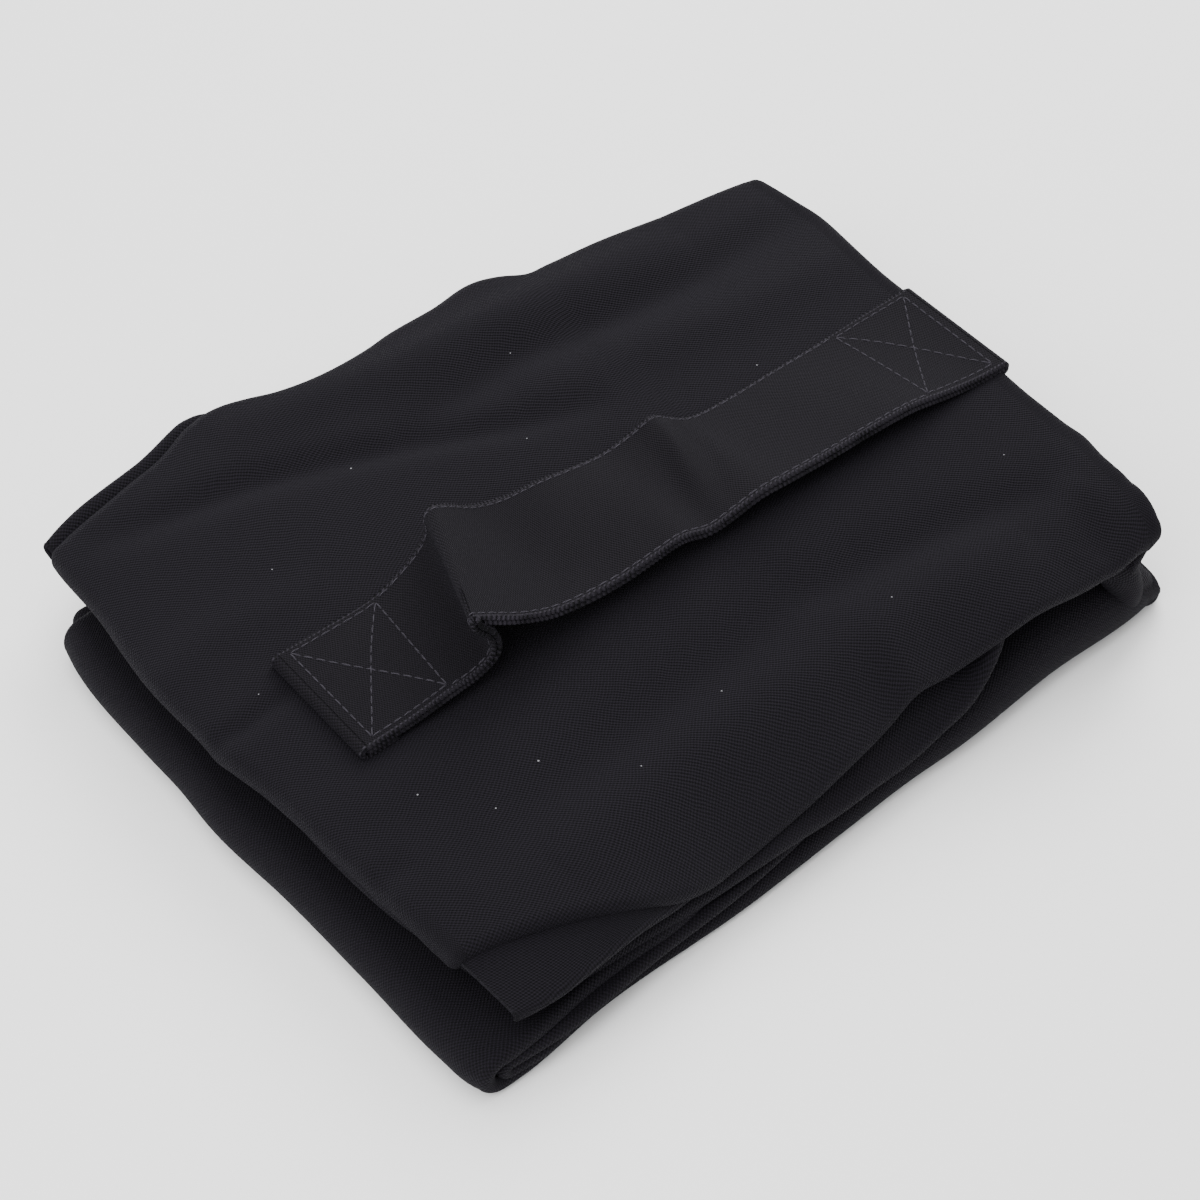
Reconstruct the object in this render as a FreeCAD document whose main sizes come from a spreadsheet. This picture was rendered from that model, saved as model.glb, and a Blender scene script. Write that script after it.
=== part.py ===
"""Empty canvas sandbag, folded in half, with a webbing carrying strap.

Millimetres, +Z up. The origin is the middle of the pack's footprint, on the surface it lies on.
+X runs along the strap to the fold, and +Y runs to the rear edge.

The bag is a flat sack of two walls: a front panel that carries the strap, and a back panel.
It is folded over itself at +X. The lower half lies flat and has the mouth at its free end.
The upper half has the closed end. It lies on the lower half, tilted up towards the fold, so
its pieces are drawn flat in a tilted frame: x from the closed end along the slope, z up from
the underside of its back panel.
"""

import FreeCAD, Part
import os

import Sketcher

doc = FreeCAD.newDocument("sandbag")

# ---------------------------------------------------------------- driving dimensions

DIMENSIONS = {
    # the cloths
    "canvas": 1.2,
    "webbing": 1.4,
    "thread": 0.4,
    # clearance between the two halves, and between the strap's free part and its sewn ends
    "joint_gap": 0.5,
    # the folded pack
    "pack_length": 243.0,
    "pack_width": 200.0,
    "pack_tilt": 3.5,
    "stack_gap": 2.0,
    "corner_radius": 7.0,
    "fold_depth": 8.0,
    "fold_radius": 6.5,
    "inner_fold_depth": 5.0,
    "inner_fold_radius": 4.0,
    # the lower half
    "lower_width": 190.0,
    "lower_height": 13.0,
    "seam_thickness": 1.5,
    # the upper half
    "closed_end_inset": 8.0,
    "upper_height": 15.5,
    "upper_back_width": 195.0,
    "upper_front_width": 180.0,
    "upper_front_inset": 3.0,
    # the hems and the closure at the mouth
    "hem_inset": 12.0,
    "hem_depth": 20.0,
    "tape_width": 16.0,
    "tape_length": 140.0,
    "tape_height": 1.2,
    "tape_inset": 2.0,
    # the strap
    "strap_width": 38.0,
    "strap_middle": -2.0,
    "strap_left_inset": 25.0,
    "strap_right_inset": 2.5,
    "sewn_length": 27.0,
    "patch_margin": 4.0,
    "arch_run": 14.0,
    "arch_left": 15.0,
    "arch_right": 6.5,
    # the stitching
    "box_side_inset": 3.2,
    "box_end_inset": 2.0,
    "row_inset": 2.2,
    "row_width": 0.8,
}

sizes = doc.addObject("Spreadsheet::Sheet", "Sizes")
for row, (alias, value) in enumerate(DIMENSIONS.items(), start=1):
    sizes.set(f"A{row}", alias)
    sizes.set(f"B{row}", str(value))
    sizes.setAlias(f"B{row}", alias)
doc.recompute()

# ---------------------------------------------------------------- places worked out from them

# Along X, in the pack's frame.
PACK_LEFT = "(-Sizes.pack_length / 2)"
CLOSED_X = f"({PACK_LEFT} + Sizes.closed_end_inset)"
FOLD_X = "(Sizes.pack_length / 2 - Sizes.fold_depth)"
LOWER_END = f"({FOLD_X} - Sizes.joint_gap)"

# Along Y.
FRONT_Y = "(-Sizes.pack_width / 2)"
REAR_Y = "(Sizes.pack_width / 2)"
LOWER_REAR_Y = f"({FRONT_Y} + Sizes.lower_width)"
BACK_FRONT_Y = f"({REAR_Y} - Sizes.upper_back_width)"
TOP_REAR_Y = f"({REAR_Y} - Sizes.upper_front_inset)"
TOP_FRONT_Y = f"({TOP_REAR_Y} - Sizes.upper_front_width)"
STRAP_FRONT_Y = "(Sizes.strap_middle - Sizes.strap_width / 2)"
STRAP_REAR_Y = "(Sizes.strap_middle + Sizes.strap_width / 2)"

# Along the upper half's slope, from the closed end.
UPPER_RUN = f"({LOWER_END} - {CLOSED_X})"
UPPER_END = f"({UPPER_RUN} / cos(Sizes.pack_tilt))"
LEFT_TIP = "Sizes.strap_left_inset"
LEFT_SEWN = f"({LEFT_TIP} + Sizes.sewn_length)"
RIGHT_TIP = f"({UPPER_END} - Sizes.strap_right_inset)"
RIGHT_SEWN = f"({RIGHT_TIP} - Sizes.sewn_length)"

# Levels in the lower half, and in the upper half above its back panel's underside.
CLOSED_Z = "(Sizes.lower_height + Sizes.stack_gap)"
LOWER_INNER = "(Sizes.lower_height - Sizes.canvas)"
PANEL_UNDER = "(Sizes.upper_height - Sizes.canvas)"
LINING_UNDER = f"({PANEL_UNDER} - Sizes.canvas)"
FRONT_HEM_TOP = "(2 * Sizes.canvas)"
BACK_HEM_UNDER = f"({LOWER_INNER} - Sizes.canvas)"
SECOND_LAYER = "(Sizes.upper_height + Sizes.webbing)"
THIRD_LAYER = "(Sizes.upper_height + 2 * Sizes.webbing)"
STRAP_TOP = "(Sizes.upper_height + 3 * Sizes.webbing)"


def fold_height(level):
    """The height at the fold of a level in the tilted upper half."""
    return f"({CLOSED_Z} + {UPPER_RUN} * tan(Sizes.pack_tilt) + {level} * cos(Sizes.pack_tilt))"


# ---------------------------------------------------------------- how the pieces are drawn


def new_body(label, tilted):
    """An empty body, in the pack's frame or tilted with the upper half."""
    body = doc.addObject("PartDesign::Body", label)
    body.Label = label
    if tilted:
        nose_up = FreeCAD.Rotation(FreeCAD.Vector(0, -1, 0), DIMENSIONS["pack_tilt"])
        body.Placement = FreeCAD.Placement(FreeCAD.Vector(), nose_up)
        body.setExpression("Placement.Base.x", CLOSED_X)
        body.setExpression("Placement.Base.z", CLOSED_Z)
        body.setExpression("Placement.Rotation.Angle", "Sizes.pack_tilt")
    return body


def new_sketch(body, role, offset):
    """A sketch on one of the body's own origin planes, moved off it along the normal."""
    sketch = body.newObject("Sketcher::SketchObject", f"{body.Label}_sketch")
    plane = next(entry for entry in body.Origin.OriginFeatures if entry.Role == role)
    sketch.AttachmentSupport = [(plane, "")]
    sketch.MapMode = "FlatFace"
    sketch.setExpression("AttachmentOffset.Base.z", offset)
    return sketch


def add_outline(sketch, corners):
    """Adds a closed outline of straight lines whose corners are held by the sheet's sizes."""
    count = len(corners)
    first = sketch.GeometryCount
    starting_ring = Part.makeCircle(10).discretize(count + 1)
    for index in range(count):
        line = Part.LineSegment(starting_ring[index], starting_ring[index + 1])
        sketch.addGeometry(line, False)
    for index in range(count):
        following = first + (index + 1) % count
        sketch.addConstraint(Sketcher.Constraint("Coincident", first + index, 2, following, 1))
    for index, corner in enumerate(corners):
        for kind, place in zip(("DistanceX", "DistanceY"), corner):
            start = Sketcher.Constraint(kind, -1, 1, first + index, 1, 1.0)
            number = sketch.addConstraint(start)
            sketch.setExpression(f"Constraints[{number}]", place)


def add_pad(body, sketch, length):
    """Pads a sketch along its normal and makes the pad the body's tip."""
    pad = body.newObject("PartDesign::Pad", f"{sketch.Label}_pad")
    pad.Profile = sketch
    pad.setExpression("Length", length)
    body.Tip = pad
    doc.recompute()
    return pad


def round_edges(body, is_wanted, radius):
    """Rounds the edges whose two ends pass a test."""
    base = body.Tip
    names = []
    for number, edge in enumerate(base.Shape.Edges, start=1):
        ends = [vertex.Point for vertex in edge.Vertexes]
        if len(ends) == 2 and is_wanted(ends[0], ends[1]):
            names.append(f"Edge{number}")
    fillet = body.newObject("PartDesign::Fillet", f"{body.Label}_fillet")
    fillet.Base = (base, names)
    fillet.setExpression("Radius", radius)
    body.Tip = fillet
    doc.recompute()


def rectangle(x_range, y_range):
    """The four corners between two places along each axis."""
    (left, right), (front, rear) = x_range, y_range
    return [(left, front), (right, front), (right, rear), (left, rear)]


def slab(label, x_range, y_range, z_range, tilted=False):
    """A flat piece with straight sides."""
    body = new_body(label, tilted)
    low, top = z_range
    sketch = new_sketch(body, "XY_Plane", low)
    add_outline(sketch, rectangle(x_range, y_range))
    add_pad(body, sketch, f"{top} - {low}")
    return body


def panel(label, x_range, y_range, z_range, tilted=False):
    """A slab of canvas with its two corners away from the fold rounded."""
    body = slab(label, x_range, y_range, z_range, tilted)
    middle = body.Tip.Shape.BoundBox.Center.x

    def at_free_end(start, end):
        return abs(start.x - end.x) < 1e-6 and abs(start.y - end.y) < 1e-6 and start.x < middle

    round_edges(body, at_free_end, "Sizes.corner_radius")
    return body


def band(label, corners, y_range, tilted=False):
    """A piece with one side outline all the way across."""
    body = new_body(label, tilted)
    front, rear = y_range
    sketch = new_sketch(body, "XZ_Plane", f"-({rear})")
    add_outline(sketch, corners)
    add_pad(body, sketch, f"{rear} - {front}")
    return body


def turned_cloth(label, heights, depth, radius, y_range):
    """The stretch of a panel that turns over at the fold, as a flattened U lying on its side."""
    low, top = heights
    reach = f"({FOLD_X} + {depth})"
    corners = [
        (LOWER_END, low),
        (reach, low),
        (reach, top),
        (FOLD_X, top),
        (FOLD_X, f"({top} - Sizes.canvas)"),
        (f"({reach} - Sizes.canvas)", f"({top} - Sizes.canvas)"),
        (f"({reach} - Sizes.canvas)", f"({low} + Sizes.canvas)"),
        (LOWER_END, f"({low} + Sizes.canvas)"),
    ]
    body = band(label, corners, y_range)
    outer_x = body.Tip.Shape.BoundBox.XMax
    inner_x = outer_x - DIMENSIONS["canvas"]

    def turns_at(x):
        def test(start, end):
            return abs(start.x - x) < 1e-4 and abs(end.x - x) < 1e-4 and abs(start.z - end.z) < 1e-6

        return test

    round_edges(body, turns_at(outer_x), radius)
    round_edges(body, turns_at(inner_x), f"{radius} - Sizes.canvas")
    return body


# ---------------------------------------------------------------- the lower half

lower_x = (PACK_LEFT, LOWER_END)
lower_y = (FRONT_Y, LOWER_REAR_Y)
lower_inside = ("Sizes.canvas", LOWER_INNER)
seam_x = (f"({PACK_LEFT} + Sizes.corner_radius)", LOWER_END)

panel("front_panel_lower", lower_x, lower_y, ("0", "Sizes.canvas"))
panel("back_panel_lower", lower_x, lower_y, (LOWER_INNER, "Sizes.lower_height"))
slab("side_seam_front_lower", seam_x, (FRONT_Y, f"({FRONT_Y} + Sizes.seam_thickness)"), lower_inside)
slab("side_seam_rear_lower", seam_x, (f"({LOWER_REAR_Y} - Sizes.seam_thickness)", LOWER_REAR_Y), lower_inside)

# ---------------------------------------------------------------- the mouth

# Each panel's free end is turned in and sewn down.
hem_x = (PACK_LEFT, f"({PACK_LEFT} + Sizes.hem_depth)")
hem_y = (f"({FRONT_Y} + Sizes.hem_inset)", f"({LOWER_REAR_Y} - Sizes.hem_inset)")
slab("mouth_hem_front", hem_x, hem_y, ("Sizes.canvas", FRONT_HEM_TOP))
slab("mouth_hem_back", hem_x, hem_y, (BACK_HEM_UNDER, LOWER_INNER))

# The loop tape is sewn inside the front hem and the hook tape inside the back hem.
TAPE_LEFT = f"({PACK_LEFT} + Sizes.tape_inset)"
TAPE_MIDDLE_Y = f"(({FRONT_Y} + {LOWER_REAR_Y}) / 2)"
tape_x = (TAPE_LEFT, f"({TAPE_LEFT} + Sizes.tape_width)")
tape_y = (f"({TAPE_MIDDLE_Y} - Sizes.tape_length / 2)", f"({TAPE_MIDDLE_Y} + Sizes.tape_length / 2)")
slab("loop_tape", tape_x, tape_y, (FRONT_HEM_TOP, f"({FRONT_HEM_TOP} + Sizes.tape_height)"))
slab("hook_tape", tape_x, tape_y, (f"({BACK_HEM_UNDER} - Sizes.tape_height)", BACK_HEM_UNDER))

# One row of thread along the back hem's inner edge, on the outside of the panel.
HEM_ROW_RIGHT = f"({PACK_LEFT} + Sizes.hem_depth - Sizes.row_inset)"
hem_row_x = (f"({HEM_ROW_RIGHT} - Sizes.row_width)", HEM_ROW_RIGHT)
thread_on_panel = ("Sizes.lower_height", "(Sizes.lower_height + Sizes.thread)")
slab("mouth_stitching", hem_row_x, hem_y, thread_on_panel)

# ---------------------------------------------------------------- the fold

turned_cloth(
    "front_panel_fold",
    ("0", fold_height("Sizes.upper_height")),
    "Sizes.fold_depth",
    "Sizes.fold_radius",
    (FRONT_Y, LOWER_REAR_Y),
)
turned_cloth(
    "back_panel_fold",
    (LOWER_INNER, fold_height("Sizes.canvas")),
    "Sizes.inner_fold_depth",
    "Sizes.inner_fold_radius",
    (BACK_FRONT_Y, LOWER_REAR_Y),
)

# ---------------------------------------------------------------- the upper half

top_x = ("0", UPPER_END)
top_y = (TOP_FRONT_Y, TOP_REAR_Y)
top_inside = ("Sizes.canvas", PANEL_UNDER)
top_seam_x = ("Sizes.corner_radius", UPPER_END)

panel("front_panel_upper", top_x, top_y, (PANEL_UNDER, "Sizes.upper_height"), tilted=True)
panel("back_panel_upper", top_x, (BACK_FRONT_Y, REAR_Y), ("0", "Sizes.canvas"), tilted=True)

front_seam_y = (TOP_FRONT_Y, f"({TOP_FRONT_Y} + Sizes.seam_thickness)")
rear_seam_y = (f"({TOP_REAR_Y} - Sizes.seam_thickness)", TOP_REAR_Y)
slab("side_seam_front_upper", top_seam_x, front_seam_y, top_inside, tilted=True)
slab("side_seam_rear_upper", top_seam_x, rear_seam_y, top_inside, tilted=True)

# The closed end is one seam between the two rounded corners.
closed_y = (f"({TOP_FRONT_Y} + Sizes.corner_radius)", f"({TOP_REAR_Y} - Sizes.corner_radius)")
slab("bottom_seam", ("0", "Sizes.seam_thickness"), closed_y, top_inside, tilted=True)

# ---------------------------------------------------------------- the strap's sewn ends

strap_y = (STRAP_FRONT_Y, STRAP_REAR_Y)
ends = {
    "left": (LEFT_TIP, LEFT_SEWN),
    "right": (RIGHT_SEWN, RIGHT_TIP),
}
patch_y = (f"({STRAP_FRONT_Y} - Sizes.patch_margin)", f"({STRAP_REAR_Y} + Sizes.patch_margin)")
patches = {
    "left": (f"({LEFT_TIP} - Sizes.patch_margin)", f"({LEFT_SEWN} + Sizes.patch_margin)"),
    "right": (f"({RIGHT_SEWN} - Sizes.patch_margin)", UPPER_END),
}


def box_and_cross(label, x_range):
    """A square of thread with a cross in it, on the top of a sewn end."""
    body = new_body(label, tilted=True)
    left = f"({x_range[0]} + Sizes.box_end_inset)"
    right = f"({x_range[1]} - Sizes.box_end_inset)"
    front = f"({STRAP_FRONT_Y} + Sizes.box_side_inset)"
    rear = f"({STRAP_REAR_Y} - Sizes.box_side_inset)"
    hole_x = (f"({left} + Sizes.row_width)", f"({right} - Sizes.row_width)")
    hole_y = (f"({front} + Sizes.row_width)", f"({rear} - Sizes.row_width)")
    square = new_sketch(body, "XY_Plane", STRAP_TOP)
    add_outline(square, rectangle((left, right), (front, rear)))
    add_outline(square, rectangle(hole_x, hole_y))
    add_pad(body, square, "Sizes.thread")
    for start, end in ((front, rear), (rear, front)):
        diagonal = new_sketch(body, "XY_Plane", STRAP_TOP)
        add_outline(
            diagonal,
            [
                (left, start),
                (f"({left} + Sizes.row_width)", start),
                (right, end),
                (f"({right} - Sizes.row_width)", end),
            ],
        )
        add_pad(body, diagonal, "Sizes.thread")
    return body


for side, sewn_x in ends.items():
    slab(f"patch_{side}", patches[side], patch_y, (LINING_UNDER, PANEL_UNDER), tilted=True)
    slab(f"turned_end_{side}", sewn_x, strap_y, ("Sizes.upper_height", SECOND_LAYER), tilted=True)
    slab(f"webbing_lower_{side}", sewn_x, strap_y, (SECOND_LAYER, THIRD_LAYER), tilted=True)
    slab(f"webbing_upper_{side}", sewn_x, strap_y, (THIRD_LAYER, STRAP_TOP), tilted=True)
    box_and_cross(f"box_stitch_{side}", sewn_x)

# ---------------------------------------------------------------- the strap's free part


def arch(low, top):
    """The side outline of one layer of the arch, between two levels at its sewn ends."""
    stations = [
        (f"({LEFT_SEWN} + Sizes.joint_gap)", "0"),
        (f"({LEFT_SEWN} + Sizes.arch_run)", "Sizes.arch_left"),
        (f"({RIGHT_SEWN} - Sizes.arch_run)", "Sizes.arch_right"),
        (f"({RIGHT_SEWN} - Sizes.joint_gap)", "0"),
    ]
    under = [(place, f"({low} + {rise})") for place, rise in stations]
    over = [(place, f"({top} + {rise})") for place, rise in reversed(stations)]
    return under + over


band("handle_webbing_lower", arch(SECOND_LAYER, THIRD_LAYER), strap_y, tilted=True)
band("handle_webbing_upper", arch(THIRD_LAYER, STRAP_TOP), strap_y, tilted=True)

# Two rows of thread join the layers, one along each edge, and are one piece in two parts.
thread_top = f"({STRAP_TOP} + Sizes.thread)"
row_starts = {
    "front": f"({STRAP_FRONT_Y} + Sizes.row_inset)",
    "rear": f"({STRAP_REAR_Y} - Sizes.row_inset - Sizes.row_width)",
}
rows = []
for edge_name, row_start in row_starts.items():
    row_y = (row_start, f"({row_start} + Sizes.row_width)")
    rows.append(band(f"{edge_name}_row", arch(STRAP_TOP, thread_top), row_y, tilted=True))
edge_stitching = doc.addObject("Part::Compound", "handle_edge_stitching")
edge_stitching.Label = "handle_edge_stitching"
edge_stitching.Links = rows

# ---------------------------------------------------------------- check and write

doc.recompute()
for item in doc.Objects:
    faults = {"Invalid", "Error"} & set(item.State)
    if faults:
        raise RuntimeError(f"{item.Label} has not been built: {sorted(faults)}")

nodes = [item for item in doc.Objects if item.isDerivedFrom("PartDesign::Body") and item not in rows]
nodes.append(edge_stitching)
os.makedirs("parts", exist_ok=True)
for node in nodes:
    if node.Shape.isNull() or not node.Shape.isValid():
        raise RuntimeError(f"{node.Label} has no valid shape")
for node in nodes:
    node.Shape.exportStep(f"parts/{node.Label}.step")
print(f"{len(nodes)} nodes written")
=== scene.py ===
"""Empty black canvas sandbag, folded in half with its webbing strap on top.

Lengths are in millimetres while a shape is worked out, and in metres once it is a mesh.
"""

import math

import bpy
import numpy as np
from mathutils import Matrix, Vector


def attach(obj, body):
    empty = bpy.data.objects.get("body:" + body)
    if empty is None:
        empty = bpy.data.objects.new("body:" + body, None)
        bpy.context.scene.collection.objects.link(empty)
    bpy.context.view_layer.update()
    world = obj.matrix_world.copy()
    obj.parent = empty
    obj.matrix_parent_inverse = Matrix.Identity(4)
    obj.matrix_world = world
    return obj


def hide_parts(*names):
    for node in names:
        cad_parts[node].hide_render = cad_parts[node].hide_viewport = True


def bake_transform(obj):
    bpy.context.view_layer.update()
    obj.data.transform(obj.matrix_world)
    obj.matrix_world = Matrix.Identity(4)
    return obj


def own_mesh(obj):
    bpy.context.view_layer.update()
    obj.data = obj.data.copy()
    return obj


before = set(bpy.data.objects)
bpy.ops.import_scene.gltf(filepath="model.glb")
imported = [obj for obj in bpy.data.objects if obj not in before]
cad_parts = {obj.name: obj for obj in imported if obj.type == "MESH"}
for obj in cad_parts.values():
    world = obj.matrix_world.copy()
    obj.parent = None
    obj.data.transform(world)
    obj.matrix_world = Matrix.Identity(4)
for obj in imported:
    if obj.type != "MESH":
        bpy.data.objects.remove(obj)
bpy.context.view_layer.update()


# ---------------------------------------------------------------- the canvas
# The whole bag is cut from one heavy cotton duck, dyed black. It is a plain weave of thick
# round yarns, so up close it is a field of small beads, and it stays dull at any angle.

def linear(hexa):
    """A colour from its sRGB hex digits."""
    parts = [int(hexa[i : i + 2], 16) / 255 for i in (0, 2, 4)]
    return [c / 12.92 if c < 0.04045 else ((c + 0.055) / 1.055) ** 2.4 for c in parts] + [1.0]


def add(tree, kind, links=(), **values):
    """Adds a shader node. links pairs its inputs with outputs, and values sets its properties."""
    made = tree.nodes.new(kind)
    for key, value in values.items():
        setattr(made, key, value)
    for key, source in dict(links).items():
        if isinstance(source, bpy.types.NodeSocket):
            tree.links.new(source, made.inputs[key])
        else:
            made.inputs[key].default_value = source
    return made


def woven(name, dark, light, yarn, relief, rough, sheen):
    """A plain weave. yarn is one thread's width along and across the cloth, in millimetres.

    relief is how high the threads stand, in millimetres too.
    """
    made = bpy.data.materials.new(name)
    made.use_nodes = True
    tree = made.node_tree
    shader = tree.nodes["Principled BSDF"]
    place = add(tree, "ShaderNodeUVMap", uv_map="cloth")
    drift = add(tree, "ShaderNodeTexNoise", {"Vector": place.outputs[0], "Scale": 130.0, "Detail": 2.0})
    shift = add(
        tree,
        "ShaderNodeVectorMath",
        {0: drift.outputs["Color"], 1: (0.0011, 0.0011, 0.0), 2: place.outputs[0]},
        operation="MULTIPLY_ADD",
    )
    parts = add(tree, "ShaderNodeSeparateXYZ", {0: shift.outputs[0]})
    waves = []
    for axis, width in enumerate(yarn):
        pitch = math.pi * 1000 / width
        turn = add(tree, "ShaderNodeMath", {0: parts.outputs[axis], 1: pitch}, operation="MULTIPLY")
        waves.append(add(tree, "ShaderNodeMath", {0: turn.outputs[0]}, operation="SINE"))
    warp, weft = (wave.outputs[0] for wave in waves)
    beads = add(tree, "ShaderNodeMath", {0: warp, 1: weft}, operation="MULTIPLY")
    slub = add(tree, "ShaderNodeTexNoise", {"Vector": place.outputs[0], "Scale": 900.0, "Detail": 1.0})
    uneven = add(tree, "ShaderNodeMath", {0: slub.outputs[0], 1: 1.3, 2: 0.25}, operation="MULTIPLY_ADD")
    height = add(tree, "ShaderNodeMath", {0: beads.outputs[0], 1: uneven.outputs[0]}, operation="MULTIPLY")
    # The colour runs from dark in the low gaps to light on the raised threads: the dark gaps are painted
    # shade.
    raised = add(tree, "ShaderNodeMapRange", {0: height.outputs[0], 1: -0.8, 2: 0.9, 3: 0.0, 4: 1.0})
    gap_shade_mix = add(
        tree,
        "ShaderNodeMix",
        {0: raised.outputs[0], 6: linear(dark), 7: linear(light)},
        data_type="RGBA",
    )
    bump = add(
        tree, "ShaderNodeBump", {"Height": height.outputs[0], "Distance": relief / 1000, "Strength": 1.0}
    )
    tree.links.new(gap_shade_mix.outputs[2], shader.inputs["Base Color"])
    tree.links.new(bump.outputs[0], shader.inputs["Normal"])
    shader.inputs["Roughness"].default_value = rough
    shader.inputs["Specular IOR Level"].default_value = 0.11
    shader.inputs["Sheen Weight"].default_value = sheen
    shader.inputs["Sheen Roughness"].default_value = 0.45
    shader.inputs["Sheen Tint"].default_value = linear("C4BFD8")
    return made


# Black dyed duck, no shine: painted shade in the gaps between the beads of yarn makes the beads read a
# little lighter.
canvas = woven("cotton_duck_black", "030304", "17141B", (0.57, 0.47), 0.19, 0.88, 0.018)

CANVAS = 1.2
RIM_ROUNDING = 0.42


def through(points, at):
    """A smooth line through (along, across) points."""
    table = np.array(sorted(points), float)
    x, y = table[:, 0], table[:, 1]
    slope = np.gradient(y, x)
    at = np.clip(at, x[0], x[-1])
    i = np.clip(np.searchsorted(x, at) - 1, 0, len(x) - 2)
    h = x[i + 1] - x[i]
    t = (at - x[i]) / h
    rise = y[i] * (1 + 2 * t) * (1 - t) ** 2 + y[i + 1] * t * t * (3 - 2 * t)
    return rise + h * (slope[i] * t * (1 - t) ** 2 + slope[i + 1] * t * t * (t - 1))


def smooth(t):
    """0 below 0, 1 above 1, and a soft step between."""
    t = np.clip(t, 0, 1)
    return t * t * (3 - 2 * t)


def along(path, x, y, width, height):
    """The height of a soft fold that follows a path, and fades out at both of its ends."""
    path = np.array(path, float)
    steps = np.hypot(*(path[1:] - path[:-1]).T)
    best = np.full(np.shape(x), 1e9)
    reached = np.zeros(np.shape(x))
    for i, (p, q) in enumerate(zip(path, path[1:])):
        d = q - p
        t = np.clip(((x - p[0]) * d[0] + (y - p[1]) * d[1]) / steps[i] ** 2, 0, 1)
        far = np.hypot(x - p[0] - t * d[0], y - p[1] - t * d[1])
        nearer = far < best
        best = np.where(nearer, far, best)
        reached = np.where(nearer, steps[:i].sum() + t * steps[i], reached)
    share = reached / steps.sum()
    fade = np.clip(4 * share * (1 - share), 0, 1) ** 0.6
    return height * fade * np.exp(-((best / width) ** 2))


def roll(past, radius, start, end):
    """How far out and how far down a cloth goes when it rolls over an edge."""
    turn = np.minimum(start + past / radius, end)
    rest = np.maximum(past - (end - start) * radius, 0)
    out = radius * (np.sin(turn) - np.sin(start)) + rest * np.cos(end)
    down = radius * (np.cos(start) - np.cos(turn)) + rest * np.sin(end)
    return out, down


def shell(points, thickness):
    """Both faces of a cloth whose middle is a grid of points, and the steps of that grid."""
    du = np.gradient(points, axis=0)
    dv = np.gradient(points, axis=1)
    normal = np.cross(du, dv)
    normal /= np.maximum(np.linalg.norm(normal, axis=2, keepdims=True), 1e-9)
    return points + normal * thickness / 2, points - normal * thickness / 2, du, dv


def cloth(name, a, b, place, thickness=CANVAS, material=None, offset=0.0, joined=()):
    """A woven piece. a and b are the places of its yarns along and across.

    place puts them in space. It may also give b in millimetres of cloth, where it isn't b itself.
    joined names the ends of a ("start", "end") that run on into the next piece, and so stay flat.
    """
    grid_a, grid_b = np.meshgrid(a, b, indexing="ij")
    placed = place(grid_a, grid_b)
    middle = np.stack(placed[:3], axis=2)
    flat_b = placed[3] if len(placed) > 3 else grid_b
    if offset:
        middle = shell(middle, 2 * offset)[0]
    top, under, du, dv = shell(middle, thickness)
    n, m = len(a), len(b)
    ring = [(i, 0) for i in range(n)] + [(n - 1, j) for j in range(1, m)]
    ring += [(i, m - 1) for i in range(n - 2, -1, -1)] + [(0, j) for j in range(m - 2, 0, -1)]
    rim = []
    for i, j in ring:
        out = np.zeros(3)
        if (i == 0 and "start" not in joined) or (i == n - 1 and "end" not in joined):
            step = du[i, j] / max(np.linalg.norm(du[i, j]), 1e-9)
            out += step if i else -step
        if j in (0, m - 1):
            step = dv[i, j] / max(np.linalg.norm(dv[i, j]), 1e-9)
            out += step if j else -step
        rim.append(middle[i, j] + out * thickness * RIM_ROUNDING)
    points = np.concatenate([top.reshape(-1, 3), under.reshape(-1, 3), np.array(rim)]) / 1000
    cell = (np.arange(n - 1)[:, None] * m + np.arange(m - 1)[None, :]).ravel()
    upper = np.stack([cell, cell + m, cell + m + 1, cell + 1], axis=1)
    lower = np.stack([cell, cell + 1, cell + m + 1, cell + m], axis=1) + n * m
    edge = np.array([i * m + j for i, j in ring])
    after = np.roll(edge, -1)
    side = 2 * n * m + np.arange(len(ring))
    side_after = np.roll(side, -1)
    rims = np.concatenate(
        [
            np.stack([edge, side, side_after, after], axis=1)[:, ::-1],
            np.stack([side, edge + n * m, after + n * m, side_after], axis=1)[:, ::-1],
        ]
    )
    faces = np.concatenate([upper, lower, rims])
    mesh = bpy.data.meshes.new(name)
    mesh.from_pydata(points.tolist(), [], faces.tolist())
    flat = np.stack([grid_a.ravel(), flat_b.ravel()], axis=1) / 1000
    flat = np.concatenate([flat, flat, flat[edge]])
    corners = np.zeros(len(mesh.loops), np.int32)
    mesh.loops.foreach_get("vertex_index", corners)
    mesh.uv_layers.new(name="cloth").data.foreach_set("uv", flat[corners].ravel())
    mesh.polygons.foreach_set("use_smooth", np.ones(len(mesh.polygons), bool))
    mesh.materials.append(material or canvas)
    ends = ([0] if "start" in joined else []) + ([n - 1] if "end" in joined else [])
    if ends:
        meets = np.zeros(len(mesh.vertices), bool)
        for i in ends:
            meets[i * m : (i + 1) * m] = True
            meets[n * m + i * m : n * m + (i + 1) * m] = True
        pairs = np.zeros(len(mesh.edges) * 2, np.int32)
        mesh.edges.foreach_get("vertices", pairs)
        sharp = mesh.attributes.new("sharp_edge", "BOOLEAN", "EDGE")
        sharp.data.foreach_set("value", meets[pairs.reshape(-1, 2)].all(axis=1))
    mesh.update()
    made = bpy.data.objects.new(name, mesh)
    bpy.context.collection.objects.link(made)
    return made


def spaced(start, end, step):
    """Evenly spaced places, both ends included."""
    return np.linspace(start, end, max(3, int(round(abs(end - start) / step)) + 1))


# ---------------------------------------------------------------- the lower half, outer wall
# The front wall runs on under the bag. At the mouth it is rolled up and laid back over itself,
# and along both sides it turns in at the seam.

FOLD = 113.0
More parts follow.
